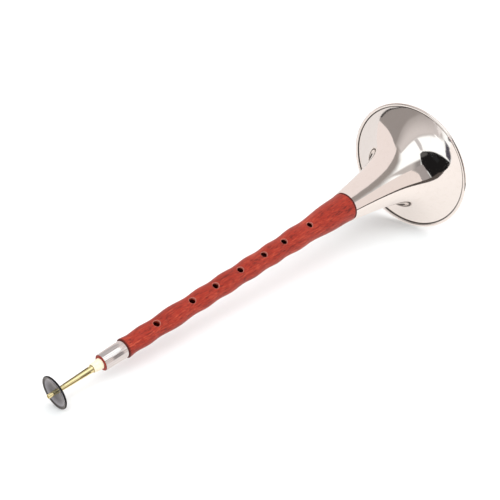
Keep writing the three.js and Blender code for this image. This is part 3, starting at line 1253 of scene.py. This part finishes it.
def flat_grid(low, high, height):
    bm = bmesh.new()
    bmesh.ops.create_grid(bm, x_segments=1, y_segments=1, size=0.5)
    bmesh.ops.scale(bm, vec=(high[0] - low[0], high[1] - low[1], 1), verts=bm.verts)
    middle = ((low[0] + high[0]) / 2, (low[1] + high[1]) / 2, height)
    bmesh.ops.translate(bm, vec=middle, verts=bm.verts)
    return bm


def add_stage(bm, name, material):
    piece = new_piece(bm, name)
    piece.data.materials.append(material)
    return piece


def paper_sheet(corners, level):
    """A sheet with those corners, as one of the levels above the floor."""
    bm = drawn([(x, y, level * SHEET_STEP) for x, y in corners])
    bmesh.ops.edgeloop_fill(bm, edges=bm.edges)
    return bm


def card(reach, first_edge, second_edge):
    """A flat card along the axis between two long edges, each a place across and up."""
    bm = flat_grid((reach[0], 0), (reach[1], 1), 0)
    for vert in bm.verts:
        vert.co.y, vert.co.z = first_edge if vert.co.y < 0.5 else second_edge
    bmesh.ops.transform(bm, matrix=LAY, verts=bm.verts)
    return bm


def skirting():
    """A dark glowing board on edge along the far end of the mirrored paper, which only the metal sees: a painted
    reflection.
    """
    bm = drawn([(x, y, 0) for x, y in SKIRTING_PATH], closed=False)
    raised = bmesh.ops.extrude_edge_only(bm, edges=bm.edges)["geom"]
    top = [part for part in raised if isinstance(part, bmesh.types.BMVert)]
    bmesh.ops.translate(bm, vec=(0, 0, SKIRTING_HEIGHT), verts=top)
    return bm


def add_lamp(name, strength, spread, source):
    """Distant light as wide as the spread. The metal mirrors the room, not the lamp."""
    lamp = bpy.data.lights.new(name, "SUN")
    lamp.energy = strength
    lamp.angle = spread
    piece = bpy.data.objects.new(name, lamp)
    piece.rotation_euler = source.to_track_quat("Z", "Y").to_euler()
    piece.visible_glossy = False
    bpy.context.scene.collection.objects.link(piece)


class SUONA_OT_stage(Operator):
    """Set up the floor, the light and the camera"""

    bl_idname = "suona.stage"
    bl_label = "Stage"

    def execute(self, context):
        settings = context.scene.suona_stage
        scene = context.scene
        scene.world = studio_world()
        scene.view_settings.view_transform = "Standard"

        floor = flat_grid((-PAPER_REACH, -PAPER_REACH), (PAPER_REACH, PAPER_REACH), 0)
        paper = add_stage(floor, "paper", paper_material("studio paper", settings.paper))
        paper.visible_glossy = False

        # Sheets, a skirting and cards that only glossy rays meet: painted reflections for the metal
        near = paper_material("near paper", NEAR_PAPER, PAPER_GLOW)
        far = paper_material("far paper", FAR_PAPER, PAPER_GLOW)
        shade = paper_material("seam shade", SEAM_SHADE)
        mirrored = [
            (paper_sheet(NEAR_CORNERS, 1), "near_paper", near),
            (paper_sheet(FAR_CORNERS + SKIRTING_PATH, 2), "far_paper", far),
            (flat_grid(*SEAM, 3 * SHEET_STEP), "paper_seam", shade),
            (skirting(), "skirting", glowing("skirting", SKIRTING_SHADE)),
        ]
        for name, tone, *spread in CARDS:
            mirrored.append((card(*spread), name.replace(" ", "_"), glowing(name, tone)))
        for sheet in mirrored:
            seen_only_by(add_stage(*sheet), glossy=True)

        dome = bmesh.new()
        bmesh.ops.create_uvsphere(
            dome, u_segments=DOME_SIDES, v_segments=DOME_SIDES // 2, radius=DOME_RADIUS
        )
        bmesh.ops.reverse_faces(dome, faces=dome.faces)
        seen_only_by(add_stage(dome, "backdrop", glowing("backdrop glow", BACKDROP)), camera=True)

        add_lamp("top light", settings.top_light, TOP_SPREAD, direction(*TOP_LIGHT))
        add_lamp("fill light", settings.fill_light, FILL_SPREAD, direction(*FILL_LIGHT))

        view = bpy.data.cameras.new("camera")
        view.lens = settings.lens
        view.sensor_width = FILM_WIDTH
        view.clip_end = 3 * DOME_RADIUS
        camera = bpy.data.objects.new("camera", view)
        camera.location = settings.camera_place
        camera.rotation_euler = (settings.camera_pitch, 0, settings.camera_heading)
        scene.collection.objects.link(camera)
        scene.camera = camera
        return {"FINISHED"}


class SUONA_PT_panel(Panel):
    """Lists the steps that build the instrument."""

    bl_label = "Suona"
    bl_idname = "SUONA_PT_panel"
    bl_space_type = "VIEW_3D"
    bl_region_type = "UI"
    bl_category = "Suona"

    def draw(self, context):
        for step in STEPS:
            self.layout.operator(step.bl_idname)
        for group in GROUPS:
            box = self.layout.box()
            settings = getattr(context.scene, group)
            for key in settings.__annotations__:
                box.prop(settings, key)


STEPS = (
    SUONA_OT_stage,
    SUONA_OT_pipe,
    SUONA_OT_ferrule,
    SUONA_OT_thread,
    SUONA_OT_bell,
    SUONA_OT_rim_wire,
    SUONA_OT_staple,
    SUONA_OT_sleeve,
    SUONA_OT_lip_disc,
)
GROUPS = {
    "suona_pipe": SuonaPipeSettings,
    "suona_bell": SuonaBellSettings,
    "suona_mouth": SuonaMouthSettings,
    "suona_stage": SuonaStageSettings,
}
CLASSES = (*GROUPS.values(), *STEPS, SUONA_PT_panel)


def register():
    for part in CLASSES:
        bpy.utils.register_class(part)
    for name, group in GROUPS.items():
        setattr(bpy.types.Scene, name, PointerProperty(type=group))


def unregister():
    for name in GROUPS:
        delattr(bpy.types.Scene, name)
    for part in reversed(CLASSES):
        bpy.utils.unregister_class(part)


def main():
    register()
    bpy.ops.suona.stage()
    bpy.ops.suona.pipe()
    bpy.ops.suona.ferrule()
    bpy.ops.suona.thread()
    bpy.ops.suona.bell()
    bpy.ops.suona.rim_wire()
    bpy.ops.suona.staple()
    bpy.ops.suona.sleeve()
    bpy.ops.suona.lip_disc()


if __name__ == "__main__":
    main()
